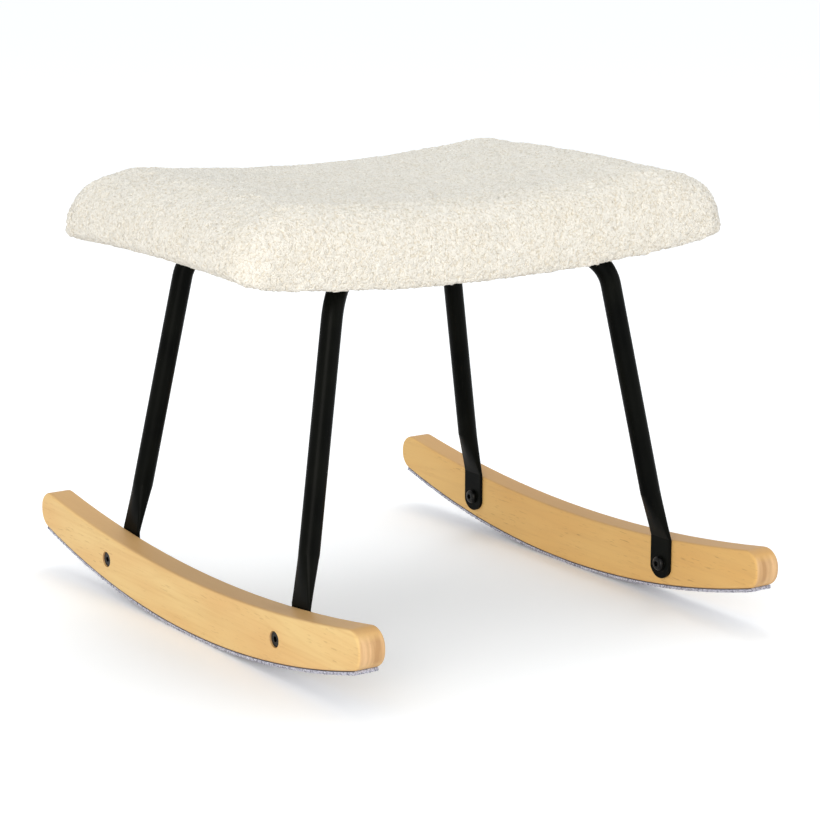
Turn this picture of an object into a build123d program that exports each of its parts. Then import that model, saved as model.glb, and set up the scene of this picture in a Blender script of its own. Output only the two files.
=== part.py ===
from build123d import *
import math
import os

# Rocking footstool: an upholstered saddle seat on crossed steel tubes, on two wooden rockers.
# Millimetres. X runs from rocker to rocker, Y along the rockers, Z up, and the floor is Z = 0.

# Rockers: curved boards standing on edge under the two ends of the seat
rocker_spacing = 430.0  # between their middle planes
rocker_thickness = 26.5
rocker_length = 576.0
rocker_mid_height = 50.0
rocker_bottom_radius = 1040.0
rocker_top_radius = 1650.0
rocker_end_radius = 16.5
rocker_edge_radius = 3.0

# Felt strips glued under the rockers, pressed flat where they meet the floor
felt_thickness = 3.4
felt_width = 23.0
felt_length = 558.0
felt_press = 0.2

# Leg bolts and the sleeve nuts that they screw into, on one axis through each leg tab
leg_bolt_spacing = 305.4
leg_bolt_height = 36.2
leg_bolt_diameter = 8.0
leg_bolt_length = 17.0
leg_bolt_head_diameter = 14.0
leg_bolt_head_height = 4.4
leg_bolt_socket = 5.0
bolt_tip_chamfer = 0.6
button_rounding = 0.7  # of a button head's height
socket_depth = 0.55  # of a button head's height
sleeve_diameter = 10.0
sleeve_length = 15.0
sleeve_head_diameter = 14.4
sleeve_head_height = 2.2
sleeve_head_rounding = 0.9
sleeve_recess_depth = 3.4
sleeve_recess_diameter = 15.0

# Leg frame: round tube, pressed flat at each foot
tube_diameter = 19.0
tube_wall = 1.5
tube_bend_radius = 40.0
frame_height = 337.0  # centre line of the level part of the tubes
leg_lean_x = 50.6  # how far a leg leans in over its height
leg_lean_y = 25.7
leg_stand_off = 4.3  # leg axis to the rocker's inner face, where the flat tab begins
tab_top_height = 61.5
flattening_length = 45.0
closed_share = 0.12  # of the flattening, up from the tab, where the walls still touch

# Seat plates welded on the tubes, with the bolts, washers and tee nuts that hold the seat
plate_reach = 105.0  # from the crossing of the tubes to each plate's middle
plate_span = 64.0  # across the tube
plate_width = 32.0
plate_thickness = 3.0
plate_corner_radius = 5.0
plate_hole_spacing = 44.0
seat_bolt_diameter = 6.0
seat_bolt_length = 16.5
seat_bolt_head_diameter = 10.5
seat_bolt_head_height = 3.3
seat_bolt_socket = 4.0
washer_diameter = 14.0
washer_thickness = 1.2
tee_nut_diameter = 8.0
tee_nut_length = 9.0
tee_nut_flange_diameter = 18.0
tee_nut_flange_thickness = 1.2

# Seat board of moulded plywood, bent to a long arc along X
board_radius = 1955.0  # of its underside
board_thickness = 12.0
board_length = 490.0
board_width = 308.0
board_corner_radius = 22.0

# Rails under the board's rim, with their screws
rail_width = 14.0
rail_screw_diameter = 4.0
rail_screw_length = 20.0
rail_screw_head_diameter = 8.0
rail_screw_tip_diameter = 1.0
long_rail_screws = 4
short_rail_screws = 2

# Upholstered seat, over the cover
seat_length = 531.0
seat_width = 335.0
seat_rise = 52.8  # from the board's underside to the top, in the middle
seat_skirt = 20.3  # from the board's underside down to the lower edge
end_shoulder_length = 82.0  # the rounding of the top towards each end
end_shoulder_drop = 57.0
side_shoulder_length = 35.0  # and towards the front and the rear
side_shoulder_drop = 31.0
seat_crown = 2.0  # of the top across Y, between the side shoulders
side_drawn_in = 7.5  # the lower edge, inside the fullest line
side_fullest_height = 29.0  # over the lower edge
seat_plan_radius = 30.0
cover_thickness = 2.5
hem_width = 14.0
end_arch = 5.5  # rise of the lower edge in the middle of each end
end_lift = 15.0  # rise of the lower edge at the very end
end_lift_length = 36.0
hip_inset = 0.6  # where the side shoulder ends, inside the fullest line
end_stations = 10  # sections over each end shoulder
middle_stations = 8  # sections from the middle to an end shoulder

# Black dust cloth under the board
dust_cloth_thickness = 0.8
dust_cloth_lap = 12.0  # over the cover's hem

# Staples
staple_crown = 10.0
staple_wire = 0.7
staple_leg = 7.0
staple_pitch = 58.0
cover_staple_inset = 9.8  # from the fold of the hem
dust_cloth_staple_inset = 4.2

# Clearances
screw_clearance = 0.1  # round a shank in its thread or bore
hole_clearance = 0.5  # round a bolt in a plate or a tab
weld_gap = 0.1
foam_gap = 0.3
cloth_gap = 0.1  # between the dust cloth and what it lies on
rail_gap = 2.4  # under the rails, for the fabric that is folded round them
screw_sink = 0.3  # of a countersunk head, below the wood's face
largest_rounding = 0.48  # of the height of a rounded end

# Worked out from the sizes above
wood_low = felt_thickness - felt_press
rocker_inner = (rocker_spacing - rocker_thickness) / 2
tube_radius = tube_diameter / 2
tab_thickness = 2 * tube_wall
tab_width = math.pi * (tube_diameter - tube_wall) / 2 + tube_wall
tab_middle_x = rocker_inner - tab_thickness / 2
foot_x = rocker_inner - leg_stand_off
foot_y = leg_bolt_spacing / 2
corner_x = foot_x - leg_lean_x
corner_y = foot_y - leg_lean_y
tube_angle = math.degrees(math.atan2(corner_y, corner_x))
plate_depth = dust_cloth_thickness + plate_thickness
plate_x = plate_reach * math.cos(math.radians(tube_angle))
bend_centre_z = (
    frame_height + tube_radius + math.sqrt((board_radius + plate_depth) ** 2 - plate_x**2)
)
rail_depth = seat_skirt - cover_thickness - rail_gap
short_rail_depth = rail_depth - end_arch
pocket_length = board_length - 2 * rail_width
pocket_width = board_width - 2 * rail_width
lining_length = pocket_length - 2 * foam_gap
lining_width = pocket_width - 2 * foam_gap
corners = {"front_left": (-1, -1), "front_right": (1, -1), "rear_left": (-1, 1), "rear_right": (1, 1)}


os.makedirs("parts", exist_ok=True)


def export(node, shape):
    export_step(shape, f"parts/{node}.step")


def group(solids):
    return Compound(children=list(solids))


# Rockers and felt


def rocker_blank():
    """Curved board between its two long arcs, its ends rounded and every edge eased."""
    lower = Pos(0, wood_low + rocker_bottom_radius) * Circle(rocker_bottom_radius)
    upper = Pos(0, wood_low + rocker_mid_height + rocker_top_radius) * Circle(rocker_top_radius)
    side = (lower - upper) & Rectangle(rocker_length, rocker_length)
    end_height = max(v.Y for v in side.vertices()) - min(v.Y for v in side.vertices())
    side = fillet(side.vertices(), min(rocker_end_radius, largest_rounding * end_height))
    board = extrude(Plane.YZ * side, rocker_thickness / 2, both=True)
    rims = board.edges().filter_by(lambda e: abs(abs(e.center().X) - rocker_thickness / 2) < 0.01)
    return fillet(rims, rocker_edge_radius)


def along_x(x, y, z, direction):
    """Place with its Z axis along +X or -X."""
    return Location(Plane(origin=(x, y, z), x_dir=(0, 1, 0), z_dir=(direction, 0, 0)))


def rocker(side):
    """One rocker, bored for its two sleeve nuts from the outer face."""
    board = Pos(side * rocker_spacing / 2, 0, 0) * rocker_blank()
    outer = side * (rocker_spacing + rocker_thickness) / 2
    bore = Cylinder(
        sleeve_diameter / 2 + screw_clearance, rocker_thickness, align=(Align.CENTER, Align.CENTER, Align.MIN)
    )
    recess = Cylinder(
        sleeve_recess_diameter / 2, sleeve_recess_depth, align=(Align.CENTER, Align.CENTER, Align.MIN)
    )
    for y in (-foot_y, foot_y):
        board -= along_x(outer, y, leg_bolt_height, -side) * (bore + recess)
    return board


def felt(side):
    """Strip along the rocker's lower arc, cut flat where it is pressed on the floor."""
    centre = wood_low + rocker_bottom_radius
    ring = Pos(0, centre) * (
        Circle(rocker_bottom_radius + felt_thickness) - Circle(rocker_bottom_radius)
    )
    window = Pos(0, felt_length / 2) * Rectangle(felt_length, felt_length)
    strip = extrude(Plane.YZ * (ring & window), felt_width / 2, both=True)
    return Pos(side * rocker_spacing / 2, 0, 0) * strip


# Leg frame


def outline(plane, corner_u, corner_v, reach_u, reach_v):
    """Closed four-edge outline: a circle or a slot, with its corners at matching places."""
    a, b, c, d = (
        plane.from_local_coords((u * corner_u, v * corner_v, 0))
        for u, v in ((1, 1), (-1, 1), (-1, -1), (1, -1))
    )
    left, right = (plane.from_local_coords((u * reach_u, 0, 0)) for u in (-1, 1))
    if reach_v > corner_v:
        top, bottom = (plane.from_local_coords((0, v * reach_v, 0)) for v in (1, -1))
        long_edges = [ThreePointArc(a, top, b), ThreePointArc(c, bottom, d)]
    else:
        long_edges = [Line(a, b), Line(c, d)]
    return make_face(
        [long_edges[0], ThreePointArc(b, left, c), long_edges[1], ThreePointArc(d, right, a)]
    )


def leg_line(sx, sy):
    """Foot and upper corner of one leg's centre line, and its direction upwards."""
    foot = Vector(sx * foot_x, sy * foot_y, tab_top_height)
    corner = Vector(sx * corner_x, sy * corner_y, frame_height)
    return foot, corner, (corner - foot).normalized()


def round_section(sx, sy, radius):
    foot, _, up = leg_line(sx, sy)
    plane = Plane(origin=foot + up * flattening_length, x_dir=(0, 1, 0), z_dir=up)
    corner = radius * math.sqrt(0.5)
    return outline(plane, corner, corner, radius, radius)


def slot_section(sx, sy, share, wall):
    """Section of the flattened stretch: share 0 at the tab, 1 at the round tube."""
    foot, _, up = leg_line(sx, sy)
    tab = Vector(sx * tab_middle_x, sy * foot_y, tab_top_height)
    centre = tab + (foot + up * flattening_length - tab) * share
    tilt = Vector(0, 0, 1) * (1 - share) + up * share
    plane = Plane(origin=centre, x_dir=(0, 1, 0), z_dir=tilt)
    half_width = (tab_width * (1 - share) + tube_diameter * share) / 2 - wall
    half_thickness = (tab_thickness * (1 - share) + tube_diameter * share) / 2 - wall
    return outline(plane, half_width - half_thickness, half_thickness, half_width, half_thickness)


def leg_tab(sx, sy):
    """Flat foot of the tube: upright, round below, with the hole for the leg bolt."""
    length = tab_top_height - leg_bolt_height + tab_width / 2
    stub = extrude(slot_section(sx, sy, 0, 0), length, dir=(0, 0, -1))
    centre = Pos(0, leg_bolt_height)
    shape = centre * Circle(tab_width / 2)
    shape += Pos(0, (leg_bolt_height + tab_top_height) / 2) * Rectangle(
        tab_width, tab_top_height - leg_bolt_height
    )
    shape -= centre * Circle(leg_bolt_diameter / 2 + hole_clearance)
    plate = Pos(0, sy * foot_y, 0) * extrude(Plane.YZ * shape, rocker_spacing, both=True)
    return stub & plate


def tube_path(points):
    return FilletPolyline(*points, radius=tube_bend_radius)


def bent_tube(ends, points):
    """Tube along the points, with a flattened foot at each of the given corners."""
    path = tube_path(points)
    sx, sy = ends[0]
    outer = sweep(round_section(sx, sy, tube_radius), path=path)
    inner = sweep(round_section(sx, sy, tube_radius - tube_wall), path=path)
    for sx, sy in ends:
        outer += loft([slot_section(sx, sy, 0, 0), round_section(sx, sy, tube_radius)])
        inner += loft(
            [
                slot_section(sx, sy, closed_share, tube_wall),
                round_section(sx, sy, tube_radius - tube_wall),
            ]
        )
        outer += leg_tab(sx, sy)
    return outer - inner


def leg_start(sx, sy):
    foot, corner, up = leg_line(sx, sy)
    return foot + up * flattening_length, corner


def through_tube():
    """The tube that runs in one length from the front left foot to the rear right one."""
    start, first = leg_start(-1, -1)
    end, last = leg_start(1, 1)
    return bent_tube([(-1, -1), (1, 1)], [start, first, last, end])


def half_tube(sx, sy):
    """Half of the crossing tube, coped to sit against the side of the through tube."""
    start, corner = leg_start(sx, sy)
    tube = bent_tube([(sx, sy)], [start, corner, Vector(0, 0, frame_height)])
    across = Plane(origin=(0, 0, frame_height), z_dir=(corner_x, corner_y, 0))
    return tube - Location(across) * Cylinder(tube_radius + weld_gap, 6 * tube_diameter)


# Seat structure. Depths are measured down from the board's underside.


def arc_height(x, depth):
    """Height at x of the arc that lies at the given depth under the board's underside."""
    return bend_centre_z - math.sqrt((board_radius + depth) ** 2 - x**2)


def slab(length, width, upper, lower, corner_radius=0.0):
    """Curved slab between two depths, with a plan outline of the given size."""
    reach = length / 2 + 1
    top = [(x, arc_height(x, upper)) for x in (-reach, 0, reach)]
    low = [(x, arc_height(x, lower)) for x in (reach, 0, -reach)]
    edges = [
        ThreePointArc(*top), Line(top[2], low[0]), ThreePointArc(*low), Line(low[2], top[0])
    ]
    band = extrude(Plane.XZ * make_face(edges), width / 2 + 1, both=True)
    plan = RectangleRounded(length, width, corner_radius) if corner_radius else Rectangle(length, width)
    return band & extrude(plan, 2 * bend_centre_z, both=True)


def on_board(x, y, depth):
    """Place on the board's underside, at a depth, with its Z axis square to the board."""
    lean = math.asin(x / board_radius)
    return Location((0, y, bend_centre_z), (0, math.degrees(-lean), 0)) * Pos(0, 0, -board_radius - depth)


def plate_holes():
    """Plan places of all the seat bolts, two to each plate."""
    places = []
    for sx, sy in corners.values():
        turn = sx * sy * tube_angle
        centre = Vector(sx * plate_reach, 0, 0).rotate(Axis.Z, turn)
        across = Vector(0, plate_hole_spacing / 2, 0).rotate(Axis.Z, turn)
        places += [(centre + across), (centre - across)]
    return [(p.X, p.Y) for p in places]


def seat_plate(sx, sy):
    """Steel plate that follows the board's arc, notched where the tube is welded to it."""
    turn = sx * sy * tube_angle
    centre = Vector(sx * plate_reach, 0, 0).rotate(Axis.Z, turn)
    blank = Pos(centre.X, centre.Y) * Rot(0, 0, turn) * RectangleRounded(
        plate_width, plate_span, plate_corner_radius
    )
    band = slab(board_length, board_width, dust_cloth_thickness, plate_depth)
    plate = band & extrude(blank, 2 * bend_centre_z, both=True)
    drill = Cylinder(seat_bolt_diameter / 2 + hole_clearance, 4 * plate_depth)
    for x, y in plate_holes():
        if (Vector(x, y) - centre).length < plate_span / 2:
            plate -= on_board(x, y, plate_depth / 2) * drill
    along = Plane(origin=(0, 0, frame_height), z_dir=(sx * corner_x, sy * corner_y, 0))
    return plate - Location(along) * Cylinder(tube_radius, 3 * plate_reach)


def button_bolt(diameter, length, head_diameter, head_height, socket):
    """Button head screw, its shank up +Z from the seat of the head at Z = 0."""
    up = (Align.CENTER, Align.CENTER, Align.MIN)
    down = (Align.CENTER, Align.CENTER, Align.MAX)
    head = Cylinder(head_diameter / 2, head_height, align=down)
    rim = head.edges().filter_by(GeomType.CIRCLE).sort_by(Axis.Z)[0]
    head = fillet(rim, button_rounding * head_height)
    key = extrude(RegularPolygon(socket / 2, 6, major_radius=False), socket_depth * head_height)
    head -= Pos(0, 0, -head_height) * key
    shank = Cylinder(diameter / 2 - screw_clearance, length, align=up)
    return head + chamfer(shank.edges().sort_by(Axis.Z)[-1], bolt_tip_chamfer)


def sleeve_nut():
    """Sleeve nut, its barrel up +Z from the seat of its flat head at Z = 0."""
    up = (Align.CENTER, Align.CENTER, Align.MIN)
    down = (Align.CENTER, Align.CENTER, Align.MAX)
    head = Cylinder(sleeve_head_diameter / 2, sleeve_head_height, align=down)
    rim = head.edges().filter_by(GeomType.CIRCLE).sort_by(Axis.Z)[0]
    head = fillet(rim, sleeve_head_rounding)
    nut = head + Cylinder(sleeve_diameter / 2, sleeve_length, align=up)
    thread = Pos(0, 0, sleeve_head_height) * Cylinder(leg_bolt_diameter / 2, sleeve_length, align=up)
    key = extrude(RegularPolygon(leg_bolt_socket / 2, 6, major_radius=False), 2 * sleeve_head_height)
    return nut - thread - Pos(0, 0, -sleeve_head_height) * key


def leg_bolts():
    bolt = button_bolt(
        leg_bolt_diameter, leg_bolt_length, leg_bolt_head_diameter, leg_bolt_head_height, leg_bolt_socket
    )
    face = rocker_inner - tab_thickness
    return group(
        along_x(sx * face, sy * foot_y, leg_bolt_height, sx) * bolt for sx, sy in corners.values()
    )


def sleeve_nuts():
    floor = (rocker_spacing + rocker_thickness) / 2 - sleeve_recess_depth
    return group(
        along_x(sx * floor, sy * foot_y, leg_bolt_height, -sx) * sleeve_nut()
        for sx, sy in corners.values()
    )


def seat_bolts():
    bolt = button_bolt(
        seat_bolt_diameter, seat_bolt_length, seat_bolt_head_diameter, seat_bolt_head_height,
        seat_bolt_socket,
    )
    return group(on_board(x, y, plate_depth + washer_thickness) * bolt for x, y in plate_holes())


def seat_washers():
    washer = Cylinder(washer_diameter / 2, washer_thickness)
    washer -= Cylinder(seat_bolt_diameter / 2 + hole_clearance / 2, washer_thickness)
    return group(on_board(x, y, plate_depth + washer_thickness / 2) * washer for x, y in plate_holes())


def tee_nuts():
    down = (Align.CENTER, Align.CENTER, Align.MAX)
    nut = Cylinder(tee_nut_flange_diameter / 2, tee_nut_flange_thickness, align=down)
    nut += Cylinder(tee_nut_diameter / 2, tee_nut_length, align=down)
    nut -= Cylinder(seat_bolt_diameter / 2, 2 * tee_nut_length)
    return group(on_board(x, y, -board_thickness) * nut for x, y in plate_holes())


def rail_screw(relief):
    """Countersunk screw, pointing up +Z, its head from Z = 0, or with a relief the hole for it."""
    head, shank, tip = (
        d / 2 for d in (rail_screw_head_diameter, rail_screw_diameter, rail_screw_tip_diameter)
    )
    shoulder = rail_screw_length - rail_screw_diameter
    points = [(0, -relief), (head, -relief), (head, 0)] if relief else [(0, 0), (head, 0)]
    points += [(shank, head - shank), (shank, shoulder)]
    points += [(tip, rail_screw_length), (0, rail_screw_length)]
    return revolve(Plane.XZ * make_face(Polyline(*points, close=True)), Axis.Z)


def spread(count, length):
    """Evenly spaced places, half a step in from each end."""
    return [(i + 0.5) * length / count - length / 2 for i in range(count)]


def rail_screws(relief=0.0):
    """All the rail screws, or with a relief the holes that they sit in."""
    long_y = (board_width - rail_width) / 2
    short_x = (board_length - rail_width) / 2
    places = [
        (x, sy * long_y, rail_depth) for x in spread(long_rail_screws, board_length) for sy in (-1, 1)
    ]
    places += [
        (sx * short_x, y, short_rail_depth)
        for y in spread(short_rail_screws, pocket_width)
        for sx in (-1, 1)
    ]
    return group(on_board(x, y, depth - screw_sink) * rail_screw(relief) for x, y, depth in places)


def long_rail(sy, screw_holes):
    band = slab(board_length, board_width, 0, rail_depth, board_corner_radius)
    keep = Pos(0, sy * (board_width - rail_width) / 2, frame_height) * Box(
        board_length, rail_width, frame_height
    )
    return (band & keep) - screw_holes


def short_rail(sx, screw_holes):
    band = slab(board_length, board_width, 0, short_rail_depth, board_corner_radius)
    keep = Pos(sx * (board_length - rail_width) / 2, 0, frame_height) * Box(
        rail_width, pocket_width, frame_height
    )
    return (band & keep) - screw_holes


def seat_board(screw_holes, staples):
    """Moulded board with its bolt holes, and the places where screws and staples bite."""
    board = slab(board_length, board_width, -board_thickness, 0, board_corner_radius)
    hole = Cylinder(tee_nut_diameter / 2 + screw_clearance, 3 * board_thickness)
    down = (Align.CENTER, Align.CENTER, Align.MAX)
    seat = Cylinder(
        tee_nut_flange_diameter / 2 + screw_clearance, tee_nut_flange_thickness, align=down
    )
    rim = Pos(0, 0, 1) * Cylinder(tee_nut_flange_diameter / 2 + screw_clearance, 2)
    for x, y in plate_holes():
        board -= on_board(x, y, -board_thickness) * (hole + seat + rim)
    return board - screw_holes - staples


# Upholstery


def ease(x, start, end, amount):
    """Quarter-ellipse fall of the given amount between start and end."""
    if x <= start:
        return 0.0
    share = min((x - start) / (end - start), 1.0)
    return amount * (1 - math.sqrt(1 - share**2))


def seat_section(x, inset):
    """Section across the seat at x: crowned top, rounded shoulders, sides drawn in below."""
    end = seat_length / 2 - inset
    far = abs(x)
    top = arc_height(far, inset - seat_rise) - ease(far, end - end_shoulder_length, end, end_shoulder_drop)
    low = arc_height(far, seat_skirt - inset)
    low += ease(far, end - end_lift_length, end, end_lift)
    half = seat_width / 2 - inset - ease(far, end - seat_plan_radius, end, seat_plan_radius)
    share = (top - low) / (seat_rise + seat_skirt - 2 * inset)
    full = low + side_fullest_height * share
    drop = side_shoulder_drop * share
    shoulder = (half - side_shoulder_length, top - seat_crown * share)
    bow = 1 - math.sqrt(0.5)
    knee = (half - side_shoulder_length * bow, top - seat_crown * share - drop * bow)
    hip = (half - hip_inset, top - seat_crown * share - drop)
    rim = (half - side_drawn_in * share, low)
    points = [Vector(x, y, z) for y, z in (shoulder, knee, hip, (half, full), rim)]
    flip = [Vector(x, -p.Y, p.Z) for p in points]
    arch = end_arch * min(max((far - pocket_length / 2) / rail_width + 1, 0), 1) * share
    below = Line(points[4], flip[4])
    if arch:
        below = ThreePointArc(points[4], Vector(x, 0, low + arch), flip[4])
    return make_face([
        ThreePointArc(flip[0], Vector(x, 0, top), points[0]),
        ThreePointArc(points[0], points[1], points[2]),
        ThreePointArc(points[2], points[3], points[4]),
        below,
        ThreePointArc(flip[4], flip[3], flip[2]),
        ThreePointArc(flip[2], flip[1], flip[0]),
    ])


def seat_form(inset):
    """Whole outer form of the seat, drawn in by the inset on every side."""
    end = seat_length / 2 - inset
    steps = [math.radians(90 * i / end_stations) for i in range(end_stations + 1)]
    ends = [end - end_shoulder_length * (1 - math.sin(step)) for step in steps]
    middle = [ends[0] * i / middle_stations for i in range(1 - middle_stations, middle_stations)]
    places = [-x for x in reversed(ends)] + middle + ends
    return loft([seat_section(x, inset) for x in places])


def window_size():
    """Clear opening inside the cover's hem."""
    around = 2 * (cover_thickness + hem_width)
    return lining_length - around, lining_width - around


def staple():
    """One staple, its legs up +Z from the underside of what it holds at Z = 0."""
    up = (Align.CENTER, Align.CENTER, Align.MIN)
    wire = Pos(0, 0, -staple_wire) * Box(staple_crown, 2 * staple_wire, staple_wire, align=up)
    for side in (-1, 1):
        wire += Pos(side * (staple_crown - staple_wire) / 2, 0, 0) * Box(
            staple_wire, 2 * staple_wire, staple_leg, align=up
        )
    return wire


def staple_row(inset, depth):
    """Staples round the hem, at an inset from the pocket's wall."""
    half_x = lining_length / 2 - cover_thickness - inset
    half_y = lining_width / 2 - cover_thickness - inset
    solids = []
    for x in spread(round(2 * half_x / staple_pitch), 2 * half_x):
        solids += [on_board(x, side * half_y, depth) * staple() for side in (-1, 1)]
    for y in spread(round(2 * half_y / staple_pitch), 2 * half_y):
        solids += [on_board(side * half_x, y, depth) * Rot(0, 0, 90) * staple() for side in (-1, 1)]
    return group(solids)


def cover_staples():
    return staple_row(cover_staple_inset, cover_thickness)


def dust_cloth_staples():
    under_cloth = cover_thickness + staple_wire + cloth_gap + dust_cloth_thickness
    return staple_row(dust_cloth_staple_inset, under_cloth)


def seat_cover(staples):
    """Fabric round the foam and the rails, lining the pocket and hemmed under the board."""
    deep = seat_skirt + cover_thickness
    inside = seat_form(cover_thickness) - slab(lining_length, lining_width, 0, deep)
    cover = seat_form(0) - inside
    cover -= slab(
        lining_length - 2 * cover_thickness, lining_width - 2 * cover_thickness, cover_thickness, deep,
        cover_thickness,
    )
    length, width = window_size()
    return cover - slab(length, width, 0, deep, cover_thickness) - staples


def seat_foam():
    """Foam over the board, wrapped down round the edges of the board and the rails."""
    form = seat_form(cover_thickness + foam_gap)
    return form - slab(
        board_length + 2 * foam_gap, board_width + 2 * foam_gap, -board_thickness - foam_gap,
        2 * seat_skirt, board_corner_radius + foam_gap,
    )


def dust_cloth(staples):
    """Thin cloth over the hem, pushed up against the board inside it, with its bolt holes."""
    length, width = window_size()
    under_hem = cover_thickness + staple_wire + cloth_gap
    low = under_hem + dust_cloth_thickness
    cloth = slab(
        length + 2 * dust_cloth_lap, width + 2 * dust_cloth_lap, under_hem, low, cover_thickness
    )
    tray_length = length - 2 * foam_gap
    tray_width = width - 2 * foam_gap
    cloth += slab(tray_length, tray_width, cloth_gap, low, cover_thickness)
    thin = 2 * dust_cloth_thickness
    cloth -= slab(
        tray_length - thin, tray_width - thin, dust_cloth_thickness, 2 * low,
        cover_thickness - dust_cloth_thickness,
    )
    hole = Cylinder(seat_bolt_diameter / 2 + hole_clearance, 4 * low)
    for x, y in plate_holes():
        cloth -= on_board(x, y, 0) * hole
    return cloth - staples


def build():
    for name, side in (("left", -1), ("right", 1)):
        export(f"rocker_{name}", rocker(side))
        export(f"rocker_felt_{name}", felt(side))
    export("leg_tube_through", through_tube())
    export("leg_tube_front_right", half_tube(1, -1))
    export("leg_tube_rear_left", half_tube(-1, 1))
    for name, (sx, sy) in corners.items():
        export(f"seat_plate_{name}", seat_plate(sx, sy))
    export("leg_bolts", leg_bolts())
    export("sleeve_nuts", sleeve_nuts())
    export("seat_bolts", seat_bolts())
    export("seat_washers", seat_washers())
    export("tee_nuts", tee_nuts())
    screw_holes = rail_screws(rail_gap)
    hem_staples = cover_staples()
    cloth_staples = dust_cloth_staples()
    staples = group(hem_staples.solids() + cloth_staples.solids())
    export("seat_board", seat_board(screw_holes, staples))
    for name, side in (("front", -1), ("rear", 1)):
        export(f"seat_rail_{name}", long_rail(side, screw_holes))
    for name, side in (("left", -1), ("right", 1)):
        export(f"seat_rail_{name}", short_rail(side, screw_holes))
    export("rail_screws", rail_screws())
    export("seat_foam", seat_foam())
    export("seat_cover", seat_cover(staples))
    export("dust_cloth", dust_cloth(cloth_staples))
    export("cover_staples", hem_staples)
    export("dust_cloth_staples", cloth_staples)


build()
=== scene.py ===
import math

import bmesh
import bpy
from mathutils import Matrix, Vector, noise


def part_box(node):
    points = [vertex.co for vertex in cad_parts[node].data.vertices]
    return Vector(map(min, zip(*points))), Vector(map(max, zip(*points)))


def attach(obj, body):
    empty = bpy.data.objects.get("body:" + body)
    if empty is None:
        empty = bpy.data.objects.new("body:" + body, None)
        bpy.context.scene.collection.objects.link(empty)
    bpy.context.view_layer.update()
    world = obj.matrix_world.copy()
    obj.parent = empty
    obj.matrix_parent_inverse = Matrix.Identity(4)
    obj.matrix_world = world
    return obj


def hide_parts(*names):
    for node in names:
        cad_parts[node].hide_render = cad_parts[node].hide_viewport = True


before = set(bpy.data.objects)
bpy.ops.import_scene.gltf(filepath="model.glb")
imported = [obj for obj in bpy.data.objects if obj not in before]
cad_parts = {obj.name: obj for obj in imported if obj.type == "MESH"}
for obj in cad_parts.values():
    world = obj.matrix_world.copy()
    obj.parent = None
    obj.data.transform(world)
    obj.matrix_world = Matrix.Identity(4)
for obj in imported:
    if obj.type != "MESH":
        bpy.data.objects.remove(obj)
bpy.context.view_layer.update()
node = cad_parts


# Rockers. Each is one curved board of light hardwood, bandsawn with the grain lengthwise, rounded
# over on every edge with a router, bored from outside for its two sleeve nuts and clear lacquered.
honey_light = (233, 201, 138)
honey_mid = (226, 184, 122)
honey_edge_and_shade = (200, 155, 100)  # edge grain, above and below, darkened further as painted shade on the tops
honey_line = (208, 162, 102)
pore_brown = (170, 124, 74)
end_light = (224, 184, 136)
end_dark = (188, 146, 100)
warmth = {"rocker_left": 0.0, "rocker_right": 0.55}  # one board came from a redder plank
red_plank = (219, 168, 92)
lines_across = 9.0  # growth lines to one swell of the figure
line_share = 0.16
streak_share = 0.3
fleck_share = 0.45
red_fleck_share = 0.4  # more flecks, in the redder board
edge_and_shade_share = 0.75
end_pore_share = 0.25


def paint(rgb):
    """A colour as it looks on a screen, 0 to 255, as the shader's linear colour."""
    return (*(((c / 255 + 0.055) / 1.055) ** 2.4 if c > 10 else c / 255 / 12.92 for c in rgb), 1.0)


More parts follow.
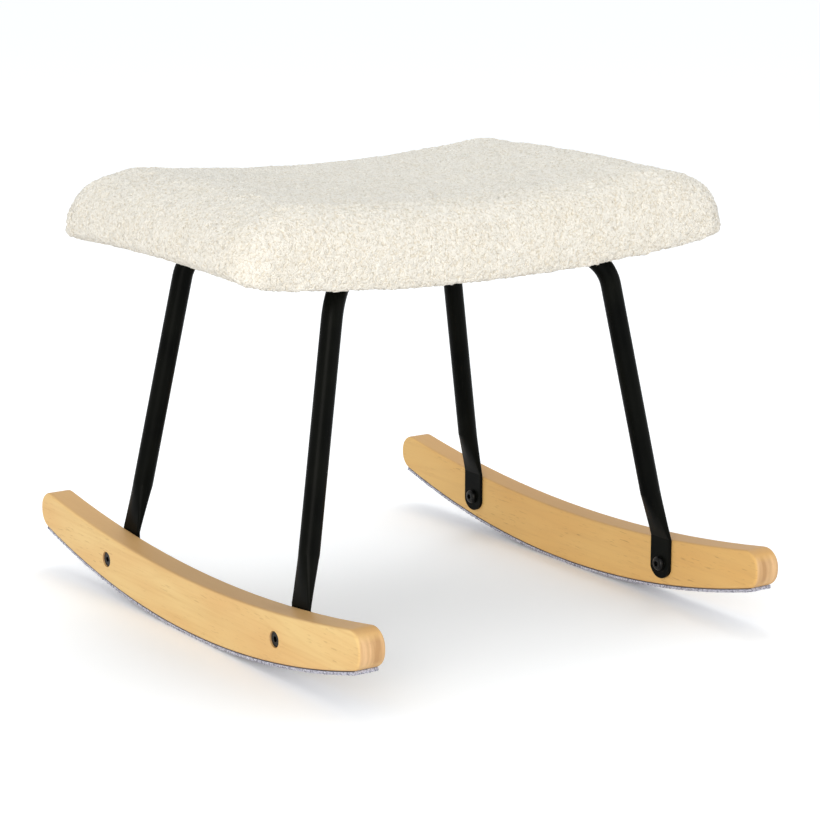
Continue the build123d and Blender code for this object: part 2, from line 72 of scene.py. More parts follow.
class Finish:
    """A procedural finish, worked out from places on the piece."""

    def __init__(self, name, roughness, metallic=0.0):
        self.material = bpy.data.materials.new(name)
        self.material.use_nodes = True
        self.nodes = self.material.node_tree.nodes
        self.links = self.material.node_tree.links
        self.shader = self.nodes["Principled BSDF"]
        self.shader.inputs["Roughness"].default_value = roughness
        self.shader.inputs["Metallic"].default_value = metallic

    def join(self, source, socket):
        self.links.new(source, socket)

    def put(self, value, socket):
        """Link a socket, or set a number or colour."""
        if isinstance(value, bpy.types.NodeSocket):
            self.links.new(value, socket)
        else:
            socket.default_value = value

    def place(self, per_metre):
        """Where a point is on the piece, in features per metre along each axis."""
        where = self.nodes.new("ShaderNodeTexCoord")
        scaled = self.nodes.new("ShaderNodeMapping")
        scaled.inputs["Scale"].default_value = per_metre
        self.join(where.outputs["Object"], scaled.inputs["Vector"])
        return scaled.outputs["Vector"]

    def cloud(self, per_metre, detail=4.0, distortion=0.0):
        """Smooth random pattern from 0 to 1."""
        cloud = self.nodes.new("ShaderNodeTexNoise")
        cloud.inputs["Scale"].default_value = 1.0
        cloud.inputs["Detail"].default_value = detail
        cloud.inputs["Distortion"].default_value = distortion
        self.join(self.place(per_metre), cloud.inputs["Vector"])
        return cloud.outputs["Fac"]

    def cells(self, per_metre):
        """Distance from the middles of random cells."""
        cells = self.nodes.new("ShaderNodeTexVoronoi")
        cells.inputs["Scale"].default_value = 1.0
        self.join(self.place(per_metre), cells.inputs["Vector"])
        return cells.outputs["Distance"]

    def work(self, operation, *values):
        """Arithmetic on patterns."""
        step = self.nodes.new("ShaderNodeMath")
        step.operation = operation
        for value, socket in zip(values, step.inputs):
            self.put(value, socket)
        return step.outputs["Value"]

    def span(self, pattern, low, high):
        """The pattern between two levels, spread over 0 to 1."""
        spread = self.nodes.new("ShaderNodeMapRange")
        spread.inputs["From Min"].default_value = low
        spread.inputs["From Max"].default_value = high
        self.join(pattern, spread.inputs["Value"])
        return spread.outputs["Result"]

    def mix(self, share, first, second):
        """Two colours, mixed by a pattern."""
        mixer = self.nodes.new("ShaderNodeMix")
        mixer.data_type = "RGBA"
        self.put(share, mixer.inputs[0])
        for colour, socket in ((first, mixer.inputs[6]), (second, mixer.inputs[7])):
            self.put(paint(colour) if isinstance(colour, tuple) else colour, socket)
        return mixer.outputs[2]

    def facing(self, axis):
        """How far the surface faces along one axis of the piece, either way."""
        where = self.nodes.new("ShaderNodeTexCoord")
        parts = self.nodes.new("ShaderNodeSeparateXYZ")
        self.join(where.outputs["Normal"], parts.inputs[0])
        return self.work("ABSOLUTE", parts.outputs[axis])

    def colour(self, colour):
        self.join(colour, self.shader.inputs["Base Color"])

    def relief(self, height, depth):
        """Fine relief, too small for the mesh, with its depth in metres."""
        bump = self.nodes.new("ShaderNodeBump")
        bump.inputs["Distance"].default_value = depth
        self.join(height, bump.inputs["Height"])
        self.join(bump.outputs["Normal"], self.shader.inputs["Normal"])

    def give(self, *pieces):
        """Put the finish on every slot of the pieces."""
        for piece in pieces:
            piece.data.materials.clear()
            piece.data.materials.append(self.material)


def hardwood(name, redness):
    wood = Finish(name, roughness=0.5)
    tone = wood.span(wood.cloud((22, 6, 22), detail=2.0), 0.35, 0.65)
    figure = wood.cloud((26, 1.6, 26), detail=1.0, distortion=0.3)
    rings = wood.work("PINGPONG", wood.work("MULTIPLY", figure, lines_across), 0.5)
    lines = wood.work("MULTIPLY", wood.span(rings, 0.3, 0.5), line_share)
    streaks = wood.span(wood.cloud((330, 10, 330), detail=3.0), 0.48, 0.75)
    streaks = wood.work("MULTIPLY", streaks, streak_share)
    flecks = wood.span(wood.cloud((800, 75, 800), detail=1.0), 0.64, 0.72)
    flecks = wood.work("MULTIPLY", flecks, wood.span(wood.cloud((30, 14, 30), detail=2.0), 0.35, 0.7))
    face = wood.mix(tone, honey_light, honey_mid)
    face = wood.mix(redness, face, red_plank)
    face = wood.mix(lines, face, honey_line)
    face = wood.mix(streaks, face, honey_line)
    flecks = wood.work("MULTIPLY", flecks, fleck_share + red_fleck_share * redness)
    face = wood.mix(flecks, face, pore_brown)
    # Faces above and below take the edge grain's darker tone, which also paints the shade on the tops.
    edge = wood.work("MULTIPLY", wood.span(wood.facing("Z"), 0.6, 0.9), edge_and_shade_share)
    face = wood.mix(edge, face, honey_edge_and_shade)
    bands = wood.span(wood.cloud((150, 8, 12), detail=3.0, distortion=0.2), 0.35, 0.65)
    end = wood.mix(bands, end_light, end_dark)
    pores = wood.span(wood.cloud((1300, 1300, 900)), 0.6, 0.72)
    end = wood.mix(wood.work("MULTIPLY", pores, end_pore_share), end, pore_brown)
    wood.colour(wood.mix(wood.span(wood.facing("Y"), 0.6, 0.9), face, end))
    wood.relief(wood.cloud((900, 30, 900), detail=2.0), depth=0.0001)
    wood.shader.inputs["Specular IOR Level"].default_value = 0.2
    wood.shader.inputs["Coat Weight"].default_value = 0.04
    wood.shader.inputs["Coat Roughness"].default_value = 0.3
    return wood


for rocker, redness in warmth.items():
    hardwood(f"{rocker}_wood", redness).give(node[rocker])


# Felt strips. Grey needle felt, cut in strips and glued along the whole lower arc of each rocker, so
# that the stool rocks quietly. The cut edges are fibrous, and a thin dark band along each strip's top
# is painted shade, for the crease under the wood's rounded edge.
felt_width = 0.023
felt_thickness = 0.0034
felt_length = 0.558
felt_corner = 0.0007
felt_fuzz = 0.0005
felt_press = 0.0002
# height of the band of painted shade along the felt's top
crease_shade_height = 0.0005
rocker_under_radius = 1.040
felt_steps = 300
felt_grey = (184, 184, 200)
felt_light = (222, 223, 234)
felt_dark = (98, 98, 114)
crease_shade_brown = (44, 38, 34)
hair_size = 0.0012


def new_piece(name, points, faces):
    mesh = bpy.data.meshes.new(name)
    mesh.from_pydata(points, [], faces)
    mesh.validate()
    mesh.shade_smooth()
    piece = bpy.data.objects.new(name, mesh)
    bpy.context.scene.collection.objects.link(piece)
    return piece


def felt_outline():
    """Points round the strip's section: (across, up from its underside)."""
    half = felt_width / 2 - felt_corner
    corners = [(half, felt_corner, -90), (half, felt_thickness - felt_corner, 0)]
    corners += [(-half, felt_thickness - felt_corner, 90), (-half, felt_corner, 180)]
    points = []
    for x, z, start in corners:
        for turn in (0, 30, 60, 90):
            angle = math.radians(start + turn)
            points.append((x + felt_corner * math.cos(angle), z + felt_corner * math.sin(angle)))
        following = corners[(corners.index((x, z, start)) + 1) % 4]
        end = math.radians(start + 90)
        begin = Vector((x + felt_corner * math.cos(end), z + felt_corner * math.sin(end)))
        there = math.radians(following[2])
        stop = Vector((
            following[0] + felt_corner * math.cos(there), following[1] + felt_corner * math.sin(there)
        ))
        steps = max(1, round((stop - begin).length / 0.0016))
        points += [tuple(begin.lerp(stop, i / steps)) for i in range(1, steps)]
    return points


def felt_strip(name, middle_x):
    ring = felt_outline()
    centre_z = felt_thickness - felt_press + rocker_under_radius
    reach = math.asin(felt_length / 2 / (rocker_under_radius + felt_thickness))
    points = []
    for step in range(felt_steps + 1):
        angle = reach * (2 * step / felt_steps - 1)
        for across, up in ring:
            radius = rocker_under_radius + felt_thickness - up
            along, height = radius * math.sin(angle), centre_z - radius * math.cos(angle)
            place = Vector((middle_x + across, along, height))
            fuzz = felt_fuzz * noise.noise(place / hair_size)
            outward = Vector((across / felt_width, 0, 0))
            if up < felt_thickness / 2:
                outward.z = -0.5
            place += outward * fuzz * 2
            place.z = max(place.z, 0.0)
            points.append(place)
    count = len(ring)
    faces = []
    for step in range(felt_steps):
        for i in range(count):
            j = (i + 1) % count
            a, b = step * count, (step + 1) * count
            faces.append((a + i, b + i, b + j, a + j))
    faces.append(tuple(range(count)))
    faces.append(tuple(reversed(range(felt_steps * count, (felt_steps + 1) * count))))
    return new_piece(name, points, faces), ring


def needle_felt():
    felt = Finish("grey_felt", roughness=0.95)
    fibres = felt.cloud((1300, 1300, 1300), detail=3.0, distortion=0.6)
    clumps = felt.cloud((520, 520, 520), detail=2.0, distortion=0.4)
    grey = felt.mix(felt.span(clumps, 0.46, 0.58), felt_grey, felt_dark)
    felt.colour(felt.mix(felt.span(fibres, 0.5, 0.62), grey, felt_light))
    felt.relief(fibres, depth=0.0004)
    return felt


# Painted shade for the crease where the felt meets the wood: dark brown, mottled with the felt's dark
# grey.
def painted_crease_shade():
    crease = Finish("painted_crease_shade_line", roughness=0.6)
    crease.colour(crease.mix(crease.cloud((600, 200, 600)), crease_shade_brown, felt_dark))
    return crease


felt_finish = needle_felt()
crease_shade_finish = painted_crease_shade()
for side in ("left", "right"):
    low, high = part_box(f"rocker_felt_{side}")
    strip, ring = felt_strip(f"felt_strip_{side}", (low.x + high.x) / 2)
    felt_finish.give(strip)
    strip.data.materials.append(crease_shade_finish.material)
    for face in strip.data.polygons[: felt_steps * len(ring)]:
        i = face.index % len(ring)
        heights = (ring[i][1], ring[(i + 1) % len(ring)][1])
        # the faces along the strip's top take the painted crease shade
        if max(heights) > felt_thickness - crease_shade_height:
            face.material_index = 1
    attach(strip, "root")
    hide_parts(f"rocker_felt_{side}")


# Leg frame. Round steel tube, its feet pressed flat and bored, bent inwards at the top. One tube runs
# through from corner to corner and the two halves of the other are coped and welded to its sides.
# The seat plates are welded on top, and the whole frame is powder coated satin black.
coat_black = (7, 8, 7)
coat_grey = (15, 16, 13)
coat_roughness = 0.24
coat_unevenness = 0.14

powder = Finish("black_powder_coat", roughness=coat_roughness)
dusty = powder.span(powder.cloud((35, 35, 22), detail=3.0), 0.35, 0.7)
powder.colour(powder.mix(dusty, coat_black, coat_grey))
uneven = powder.work("MULTIPLY", powder.cloud((60, 60, 30), detail=3.0), coat_unevenness)
powder.join(powder.work("ADD", uneven, coat_roughness), powder.shader.inputs["Roughness"])
powder.shader.inputs["Specular IOR Level"].default_value = 0.03
powder.relief(powder.cloud((1400, 1400, 1400), detail=2.0), depth=0.00004)
for tube in ("leg_tube_through", "leg_tube_front_right", "leg_tube_rear_left"):
    powder.give(node[tube])
for corner in ("front_left", "front_right", "rear_left", "rear_right"):
    powder.give(node[f"seat_plate_{corner}"])


# Leg bolts and sleeve nuts. Black oxide button head screws with a hexagon socket, driven from inside
# through the flat feet into sleeve nuts, whose flat heads sit in bored recesses in the outer faces.
oxide_black = (13, 13, 13)
oxide_worn = (36, 35, 34)

oxide = Finish("black_oxide", roughness=0.36, metallic=0.7)
wear = oxide.span(oxide.cloud((700, 700, 700), detail=4.0), 0.45, 0.8)
oxide.colour(oxide.mix(wear, oxide_black, oxide_worn))
oxide.relief(oxide.cloud((2500, 2500, 2500), detail=1.0), depth=0.00003)
oxide.give(node["leg_bolts"], node["sleeve_nuts"])


# Seat bolts, washers, tee nuts, rail screws and staples. All are bright zinc plated steel. The bolts
# run up through the plates into tee nuts in the board, and the screws hold the rails to its rim.
zinc_bright = (188, 190, 194)
zinc_dull = (142, 145, 150)

zinc = Finish("zinc_plate", roughness=0.34, metallic=0.95)
spangle = zinc.span(zinc.cloud((450, 450, 450), detail=4.0), 0.4, 0.7)
zinc.colour(zinc.mix(spangle, zinc_bright, zinc_dull))
zinc.relief(zinc.cloud((2000, 2000, 2000), detail=1.0), depth=0.00002)
for fastener in (
    "seat_bolts", "seat_washers", "tee_nuts", "rail_screws", "cover_staples", "dust_cloth_staples"
):
    zinc.give(node[fastener])


# Seat board and rails. The board is birch plywood, moulded to the long arc of the seat; the four
# pine rails are cut to the same arc and screwed up into its rim.
veneer_light = (222, 196, 154)
veneer_dark = (196, 163, 116)
ply_glue = (150, 112, 72)
pine_light = (231, 200, 148)
pine_dark = (201, 156, 96)
ply_pitch = 1.3 / 0.0012  # plies and glue lines to the metre of height

plywood = Finish("birch_plywood", roughness=0.6)
figure = plywood.span(plywood.cloud((5, 160, 160), detail=4.0, distortion=0.3), 0.35, 0.65)
plies = plywood.cloud((1.5, 1.5, ply_pitch), detail=0.0)
edge = plywood.mix(plywood.span(plies, 0.45, 0.55), veneer_light, ply_glue)
veneer = plywood.mix(figure, veneer_light, veneer_dark)
plywood.colour(plywood.mix(plywood.span(plywood.facing("Z"), 0.6, 0.8), edge, veneer))
plywood.relief(figure, depth=0.0001)
plywood.give(node["seat_board"])

pine = Finish("planed_pine", roughness=0.62)
figure = pine.span(pine.cloud((60, 60, 260), detail=3.0, distortion=0.5), 0.4, 0.62)
pine.colour(pine.mix(figure, pine_light, pine_dark))
pine.relief(figure, depth=0.00015)
for rail in ("front", "rear", "left", "right"):
    pine.give(node[f"seat_rail_{rail}"])


# Foam. One block of cut polyurethane foam, glued on the board and wrapped down over its edges and
# the rails. The cover hides all of it.
foam_voxel = 0.005
foam_slack = 0.0015  # clear of the cover and the wood, on every side
foam_cream = (236, 226, 190)
# painted shade in the hollows of the pores
foam_pore_shade = (196, 180, 134)


def keep_modifiers(piece):
    """Make the piece's mesh what its modifiers give."""
    bpy.context.view_layer.update()
    seen = piece.evaluated_get(bpy.context.evaluated_depsgraph_get())
    mesh = bpy.data.meshes.new_from_object(seen)
    piece.modifiers.clear()
    piece.data = mesh


def outside_of(name, nodes, voxel):
    """One closed mesh round the outside of some of the frame's solids."""
    solids = bmesh.new()
    for solid in nodes:
        solids.from_mesh(node[solid].data)
    bmesh.ops.remove_doubles(solids, verts=solids.verts, dist=1e-6)
    piece = new_piece(name, [], [])
    solids.to_mesh(piece.data)
    solids.free()
    remesh = piece.modifiers.new("remesh", "REMESH")
    remesh.mode = "VOXEL"
    remesh.voxel_size = voxel
    remesh.use_smooth_shade = True
    keep_modifiers(piece)
    return piece


foam = outside_of("foam_block", ["seat_foam"], foam_voxel)
shrunk = [vert.co - vert.normal * foam_slack for vert in foam.data.vertices]
for vert, place in zip(foam.data.vertices, shrunk):
    vert.co = place
foam_finish = Finish("cut_foam", roughness=0.95)
pores = foam_finish.cells((900, 900, 900))
# The pores' middles are darkened, as painted shade in their hollows.
foam_finish.colour(foam_finish.mix(foam_finish.span(pores, 0.2, 0.7), foam_pore_shade, foam_cream))
foam_finish.relief(pores, depth=0.0006)
foam_finish.give(foam)
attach(foam, "root")
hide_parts("seat_foam")


# Cover. Cream boucle, a knit of tight wool curls, pulled over the foam, folded round the lower edge
# and up inside the rails, and stapled to the board's underside along a 14 mm hem.
board_radius = 1.955  # of the board's underside, an arc along X
hem_width = 0.014
cover_voxel = 0.0042
cover_thickness = 0.0022
slack = 0.0012  # taken in before the foam pushes the cover out
swell_cap = 0.0024
plan_rounding = 0.030  # of the foam's corners
fold_squareness = 0.45  # of the fabric's corners at the lower edge, 0 as round as the foam, 1 square
held_depth = 0.013  # from here down, under the board's underside, the cover is held by its hem
pressure = 4.0
swell_frames = 20
curl_size = 0.0032
curl_height = 0.0019
lump_size = 0.017
lump_height = 0.0007
boucle_light = (253, 249, 240)
boucle_cream = (249, 242, 228)
# painted shade in the hollows between the curls
boucle_hollow_shade = (216, 202, 175)
boucle_speck = (160, 142, 106)
tiny_curl = 0.0021
hollow_shade_share = 0.22  # of the painted shade, in the hollows between the curls
# of the painted shade, in the gaps between the fine rings
fine_hollow_shade_share = 0.5
speck_share = 0.4
hem_press = 0.35  # of the curls' height, left where the hem is pulled flat
hold_fades = 0.016  # height over which the hold gives way to the foam
hem_reach = 0.006  # height on either side of the board's underside that counts as its hem
rail_side = 0.003  # the cover's room on the rails' inner faces
fold_start, fold_full = 0.003, 0.015  # depths between which the corners get square
curl_spread = 0.75  # of a curl's own width, from its top down to the hollow
under_reach = 0.008  # past the hem's edge, where the opening's faces are looked for
under_depth = 0.007

rail_left, rail_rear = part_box("seat_rail_left"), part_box("seat_rail_rear")
pocket_x, pocket_y = -rail_left[1].x, rail_rear[0].y
board_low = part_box("seat_board")[0].z
bend_centre_z = board_low + board_radius


def under_board(point):
    """Depth of a point below the board's underside."""
    return math.hypot(point.x, bend_centre_z - point.z) - board_radius


def ease(value, start, end):
    share = min(max((value - start) / (end - start), 0.0), 1.0)
    return share * share * (3 - 2 * share)


def looseness(point):
    """0 where the cover is held by its hem and the rails, 1 where only foam is behind it."""
    if abs(point.x) < pocket_x and abs(point.y) < pocket_y and under_board(point) > -hem_reach:
        return 0.0
    return 1 - ease(under_board(point), held_depth - hold_fades, held_depth)


def swell(cover):
    """Let the foam push the cover out, as far as the cap allows."""
    start = [vert.co.copy() for vert in cover.data.vertices]
    outward = [vert.normal.copy() for vert in cover.data.vertices]
    held = cover.vertex_groups.new(name="held")
    for vert in cover.data.vertices:
        held.add([vert.index], 1 - looseness(vert.co), "REPLACE")
        start[vert.index] -= vert.normal * slack * looseness(vert.co)
    for vert in cover.data.vertices:
        vert.co = start[vert.index]
    cloth = cover.modifiers.new("cloth", "CLOTH")
    cloth.settings.effector_weights.gravity = 0
    cloth.settings.use_pressure = True
    cloth.settings.uniform_pressure_force = pressure
    cloth.settings.vertex_group_mass = held.name
    cloth.point_cache.frame_end = swell_frames
    for moment in range(1, swell_frames + 1):
        bpy.context.scene.frame_set(moment)
    keep_modifiers(cover)
    bpy.context.scene.frame_set(1)
    for vert in cover.data.vertices:
        step = vert.co - start[vert.index]
        step -= outward[vert.index] * min(step.dot(outward[vert.index]), 0.0)  # the foam holds it
        if step.length > swell_cap:
            step *= swell_cap / step.length
        vert.co = start[vert.index] + step


def square_corners(cover):
    """Pull the lower corners out, where the fabric is folded round the corners of the rails."""
    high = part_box("seat_cover")[1]
    middle = high.xy - Vector((plan_rounding, plan_rounding))
    for vert in cover.data.vertices:
        out = Vector((abs(vert.co.x), abs(vert.co.y))) - middle
        if min(out) > 0:
            share = fold_squareness * ease(under_board(vert.co), fold_start, fold_full)
            place = middle + out * (out.length / max(out)) ** share
            vert.co.x, vert.co.y = math.copysign(place.x, vert.co.x), math.copysign(place.y, vert.co.y)


def open_under(cover):
    """Cut away the cover inside its hem, along straight edges."""
    cloth = bmesh.new()
    cloth.from_mesh(cover.data)
    half_x, half_y = pocket_x - rail_side - hem_width, pocket_y - rail_side - hem_width

    def within(face, reach):
        middle = face.calc_center_median()
        return abs(middle.x) < half_x + reach and abs(middle.y) < half_y + reach

    def ceiling():
        return [
            f for f in cloth.faces
            if within(f, under_reach) and abs(under_board(f.calc_center_median())) < under_depth
            and f.normal.z < -0.5
        ]

    for at, normal in (((half_x, 0, 0), (1, 0, 0)), ((-half_x, 0, 0), (1, 0, 0)),
                       ((0, half_y, 0), (0, 1, 0)), ((0, -half_y, 0), (0, 1, 0))):
        faces = ceiling()
        around = {e for f in faces for e in f.edges} | {v for f in faces for v in f.verts}
        bmesh.ops.bisect_plane(cloth, geom=faces + list(around), plane_co=at, plane_no=normal)
    bmesh.ops.delete(cloth, geom=[f for f in ceiling() if within(f, 0)], context="FACES")
    cloth.to_mesh(cover.data)
    cloth.free()


def thicken(cover):
    """Give the cover its thickness, inwards, and a finer outside."""
    inner = cover.vertex_groups.new(name="inner")
    solid = cover.modifiers.new("thickness", "SOLIDIFY")
    solid.thickness = cover_thickness
    solid.offset = -1.0
    solid.shell_vertex_group = inner.name
    keep_modifiers(cover)
    cloth = bmesh.new()
    cloth.from_mesh(cover.data)
    weights = cloth.verts.layers.deform.active
    outside = {v for v in cloth.verts if v[weights].get(inner.index, 0.0) < 0.5}
    edges = [e for e in cloth.edges if e.verts[0] in outside and e.verts[1] in outside]
    bmesh.ops.subdivide_edges(cloth, edges=edges, cuts=1, use_grid_fill=True)
    outside = [v for v in cloth.verts if v[weights].get(inner.index, 0.0) < 0.5]
    bmesh.ops.smooth_vert(
        cloth, verts=outside, factor=0.5, use_axis_x=True, use_axis_y=True, use_axis_z=True
    )
    cloth.to_mesh(cover.data)
    cloth.free()
    return inner.index


def curl(cover, inner_index):
    """Raise the wool's curls on the outside, lower where the hem is pulled flat."""
    cloth = bmesh.new()
    cloth.from_mesh(cover.data)
    cloth.normal_update()
    weights = cloth.verts.layers.deform.active
    height = cloth.verts.layers.float.new("curl")
    moves = []
    for vert in cloth.verts:
        if vert[weights].get(inner_index, 0.0) > 0.5:
            continue
        near = noise.voronoi(vert.co / curl_size)[0][0]
        top = 1 - min(near / curl_spread, 1.0) ** 2
        lump = noise.noise(vert.co / lump_size)
        in_pocket = abs(vert.co.x) < pocket_x - 0.001 and abs(vert.co.y) < pocket_y - 0.001
        pressed = hem_press if in_pocket and abs(under_board(vert.co)) < hem_reach else 1.0
        vert[height] = top
        moves.append((vert, vert.normal * pressed * (curl_height * (top - 0.5) + lump_height * lump)))
    for vert, move in moves:
        vert.co += move
    cloth.to_mesh(cover.data)
    cloth.free()


def boucle():
    wool = Finish("cream_boucle", roughness=0.95)
    heights = wool.nodes.new("ShaderNodeAttribute")
    heights.attribute_name = "curl"
    per_metre = 1 / tiny_curl
    rings = wool.cells((per_metre, per_metre, per_metre))
    ridge = wool.work("SUBTRACT", 1.0, wool.work("ABSOLUTE", wool.work("SUBTRACT", rings, 0.38)))
    yarn = wool.cloud((1500, 1500, 1500), detail=2.0)
    tuft = wool.work("ADD", wool.work("MULTIPLY", ridge, 0.75), wool.work("MULTIPLY", yarn, 0.35))
    # Painted shade: low curls and the gaps between the fine rings are darkened.
    hollow_shade = wool.span(heights.outputs["Fac"], 0.45, 0.02)
    fine_hollow_shade = wool.span(ridge, 0.82, 0.6)
    specks = wool.span(wool.cloud((560, 560, 560), detail=2.0), 0.62, 0.7)
    shade = wool.mix(wool.cloud((40, 40, 40), detail=2.0), boucle_light, boucle_cream)
    shade = wool.mix(wool.work("MULTIPLY", hollow_shade, hollow_shade_share), shade, boucle_hollow_shade)
    shade = wool.mix(wool.work("MULTIPLY", fine_hollow_shade, fine_hollow_shade_share), shade, boucle_hollow_shade)
    shade = wool.mix(wool.work("MULTIPLY", specks, speck_share), shade, boucle_speck)
    wool.colour(shade)
    wool.relief(tuft, depth=0.0021)
    wool.shader.inputs["Sheen Weight"].default_value = 0.15
    wool.shader.inputs["Sheen Roughness"].default_value = 0.6
    wool.shader.inputs["Specular IOR Level"].default_value = 0.2
    return wool


covered = ["seat_cover", "seat_foam", "seat_board"]
covered += [f"seat_rail_{side}" for side in ("front", "rear", "left", "right")]
cover = outside_of("boucle_cover", covered, cover_voxel)
swell(cover)
square_corners(cover)
open_under(cover)
curl(cover, thicken(cover))
cover.data.shade_smooth()
boucle().give(cover)
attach(cover, "root")
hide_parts("seat_cover")


# Dust cloth. Black spunbond, cut to a rectangle and pressed up against the board by the seat plates,
# with its rim drawn down over the cover's hem and stapled all round. The seat bolts pass through it.
dust_thickness = 0.0003
dust_step = 0.003
window_depth = 0.0005  # of the cloth's middle, under the board
rim_depth = 0.0037
rim_slope = 0.005  # over which the cloth comes up inside the hem
rim_lap = 0.012
dust_ripple = 0.00025
ripple_length = 0.029
bolt_clear = 0.0045
rim_start = 0.0008
dust_unevenness = 0.0001
unevenness_length = 0.02
dust_black = (22, 22, 24)
dust_grey = (46, 46, 50)


def dust_depth(x, y, half_x, half_y):
    inside = min(half_x - rim_lap - abs(x), half_y - rim_lap - abs(y))
    depth = rim_depth + (window_depth - rim_depth) * ease(inside, rim_start, rim_slope)
    along = x if half_y - abs(y) < half_x - abs(x) else y
    ripple = dust_ripple * math.sin(2 * math.pi * along / ripple_length)
    uneven = dust_unevenness * noise.noise(Vector((x, y, 0)) / unevenness_length)
    return depth + ripple * (1 - ease(inside, 0.0, rim_slope)) + uneven


def dust_sheet():
    low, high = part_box("dust_cloth")
    half_x, half_y = high.x, high.y
    across, along = round(2 * half_x / dust_step), round(2 * half_y / dust_step)
    bolts = bolt_places()
    points, faces = [], []
    for i in range(across + 1):
        x = half_x * (2 * i / across - 1)
        for j in range(along + 1):
            y = half_y * (2 * j / along - 1)
            radius = board_radius + dust_depth(x, y, half_x, half_y)
            points.append(Vector((x, y, bend_centre_z - math.sqrt(radius**2 - x**2))))
    for i in range(across):
        for j in range(along):
            a = i * (along + 1) + j
            middle = (points[a] + points[a + along + 2]) / 2
            if all((middle.xy - bolt).length > bolt_clear for bolt in bolts):
                faces.append((a, a + 1, a + along + 2, a + along + 1))
    cloth = new_piece("dust_sheet", points, faces)
    solid = cloth.modifiers.new("thickness", "SOLIDIFY")
    solid.thickness = dust_thickness
    solid.offset = 0.0
    keep_modifiers(cloth)
    arc = 2 * board_radius * math.asin(half_x / board_radius)
    rise = 2 * (math.hypot(rim_slope, rim_depth - window_depth) - rim_slope)
    return cloth, (round(arc + rise, 4), round(2 * half_y + rise, 4))


def bolt_places():
    """Middles of the seat bolts, in plan."""
    bolts = bmesh.new()
    bolts.from_mesh(node["seat_bolts"].data)
    bmesh.ops.remove_doubles(bolts, verts=bolts.verts, dist=1e-6)
    middles = []
    left = set(bolts.verts)
    while left:
        island, edge = set(), [left.pop()]
        while edge:
            vert = edge.pop()
            island.add(vert)
            for link in vert.link_edges:
                other = link.other_vert(vert)
                if other in left:
                    left.discard(other)
                    edge.append(other)
        middles.append(sum((v.co.xy for v in island), Vector((0, 0))) / len(island))
    bolts.free()
    return middles


cloth, flat = dust_sheet()
spunbond = Finish("black_spunbond", roughness=0.8)
dimples = spunbond.cells((700, 700, 700))
spunbond.colour(spunbond.mix(spunbond.span(dimples, 0.15, 0.6), dust_black, dust_grey))
spunbond.relief(dimples, depth=0.0003)
spunbond.give(cloth)
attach(cloth, "root")
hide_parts("dust_cloth")


# Floor. A white paper sweep, so large that no edge shows. It glows a little for the camera, less
# where the stool stands over it, so that it is plain white; that drop in the glow is painted shadow,
# added to the soft shadow the lamps cast on it.
floor_white = (0.9, 0.9, 0.9, 1.0)
floor_glow = 0.07
open_glow = 0.27  # more, where nothing stands over the floor
shade_reach = 0.45
shade_rays = 4
shade_power = 2.0
floor_size = 30.0

floor = new_piece("floor", [
    (x * floor_size, y * floor_size, -0.0003) for x, y in ((-1, -1), (1, -1), (1, 1), (-1, 1))
], [(0, 1, 2, 3)])
sweep = bpy.data.materials.new("white_sweep")
sweep.use_nodes = True
sweep_nodes, sweep_links = sweep.node_tree.nodes, sweep.node_tree.links
sweep_nodes.clear()
matt = sweep_nodes.new("ShaderNodeBsdfDiffuse")
matt.inputs["Color"].default_value = floor_white
glow = sweep_nodes.new("ShaderNodeEmission")
rays = sweep_nodes.new("ShaderNodeLightPath")
seen_rays = sweep_nodes.new("ShaderNodeMath")
seen_rays.operation = "MAXIMUM"
sweep_links.new(rays.outputs["Is Camera Ray"], seen_rays.inputs[0])
sweep_links.new(rays.outputs["Is Glossy Ray"], seen_rays.inputs[1])
level = sweep_nodes.new("ShaderNodeMath")
level.operation = "MULTIPLY"
# the glow's drop where the stool stands over the floor paints part of its shadow
openness = sweep_nodes.new("ShaderNodeAmbientOcclusion")
openness.inputs["Distance"].default_value = shade_reach
openness.samples = shade_rays
clear = sweep_nodes.new("ShaderNodeMath")
clear.operation = "POWER"
clear.inputs[1].default_value = shade_power
sweep_links.new(openness.outputs["AO"], clear.inputs[0])
white = sweep_nodes.new("ShaderNodeMath")
white.operation = "MULTIPLY_ADD"
white.inputs[1].default_value = open_glow
white.inputs[2].default_value = floor_glow
sweep_links.new(clear.outputs[0], white.inputs[0])
sweep_links.new(white.outputs[0], level.inputs[1])
sweep_links.new(seen_rays.outputs[0], level.inputs[0])
sweep_links.new(level.outputs[0], glow.inputs["Strength"])
both = sweep_nodes.new("ShaderNodeAddShader")
out = sweep_nodes.new("ShaderNodeOutputMaterial")
sweep_links.new(matt.outputs[0], both.inputs[0])
sweep_links.new(glow.outputs[0], both.inputs[1])
sweep_links.new(both.outputs[0], out.inputs["Surface"])
floor.data.materials.append(sweep)


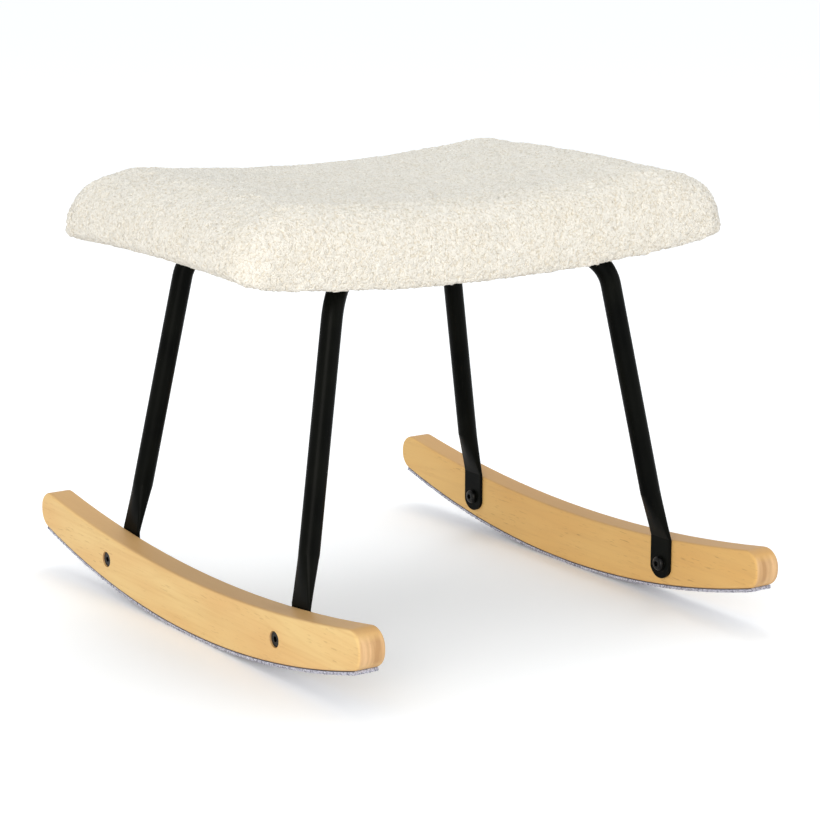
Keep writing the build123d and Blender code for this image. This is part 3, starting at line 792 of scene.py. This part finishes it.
# Light. A white room, a large soft lamp by the camera's left, a weaker one on the right, and one high
# behind the stool, which gives it its shadow between the rockers.
room_level = 0.75
room_tint = (0.94, 0.97, 1.0, 1.0)
lamps = {
    "key_lamp": ((-2.8, -2.7, 1.05), 2.0, 77.0, (1.0, 0.953, 0.88)),
    "fill_lamp": ((2.2, -3.0, 0.9), 2.0, 15.0, (1.0, 0.97, 0.92)),
    "top_lamp": ((0.7, 0.9, 3.0), 1.5, 21.0, (0.93, 0.97, 1.0)),
}
lamp_aim = Vector((0.0, 0.0, 0.25))

room = bpy.data.worlds.new("white_room")
room.use_nodes = True
room_nodes, room_links = room.node_tree.nodes, room.node_tree.links
background = room_nodes["Background"]
rays = room_nodes.new("ShaderNodeLightPath")
seen_rays = room_nodes.new("ShaderNodeMath")
seen_rays.operation = "MAXIMUM"
room_links.new(rays.outputs["Is Camera Ray"], seen_rays.inputs[0])
room_links.new(rays.outputs["Is Glossy Ray"], seen_rays.inputs[1])
strength = room_nodes.new("ShaderNodeMapRange")
strength.inputs["To Min"].default_value = room_level
strength.inputs["To Max"].default_value = 1.0
room_links.new(seen_rays.outputs[0], strength.inputs["Value"])
room_links.new(strength.outputs["Result"], background.inputs["Strength"])
seen_white = room_nodes.new("ShaderNodeMix")
seen_white.data_type = "RGBA"
seen_white.inputs[6].default_value = room_tint
seen_white.inputs[7].default_value = (1.0, 1.0, 1.0, 1.0)
room_links.new(seen_rays.outputs[0], seen_white.inputs[0])
room_links.new(seen_white.outputs[2], background.inputs["Color"])
bpy.context.scene.world = room

for name, (place, size, watts, tint) in lamps.items():
    lamp = bpy.data.lights.new(name, "AREA")
    lamp.size = size
    lamp.energy = watts
    lamp.color = tint
    holder = bpy.data.objects.new(name, lamp)
    holder.location = place
    holder.rotation_euler = (lamp_aim - Vector(place)).to_track_quat("-Z", "Y").to_euler()
    bpy.context.scene.collection.objects.link(holder)
bpy.context.scene.view_settings.view_transform = "Standard"


# Camera. It stands at the photograph's place: low, in front of the left end and a little to its side,
# with a long lens.
camera_place = Vector((-1.4111, -2.1039, 0.7541))
camera_aim = Vector((0.0247, 0.0113, 0.1762))
camera_lens = 121.3  # on a 36 mm sensor

camera = bpy.data.cameras.new("camera")
camera.lens = camera_lens
camera.sensor_width = 36.0
camera_holder = bpy.data.objects.new("camera", camera)
camera_holder.location = camera_place
camera_holder.rotation_euler = (camera_aim - camera_place).to_track_quat("-Z", "Y").to_euler()
bpy.context.scene.collection.objects.link(camera_holder)
bpy.context.scene.camera = camera_holder
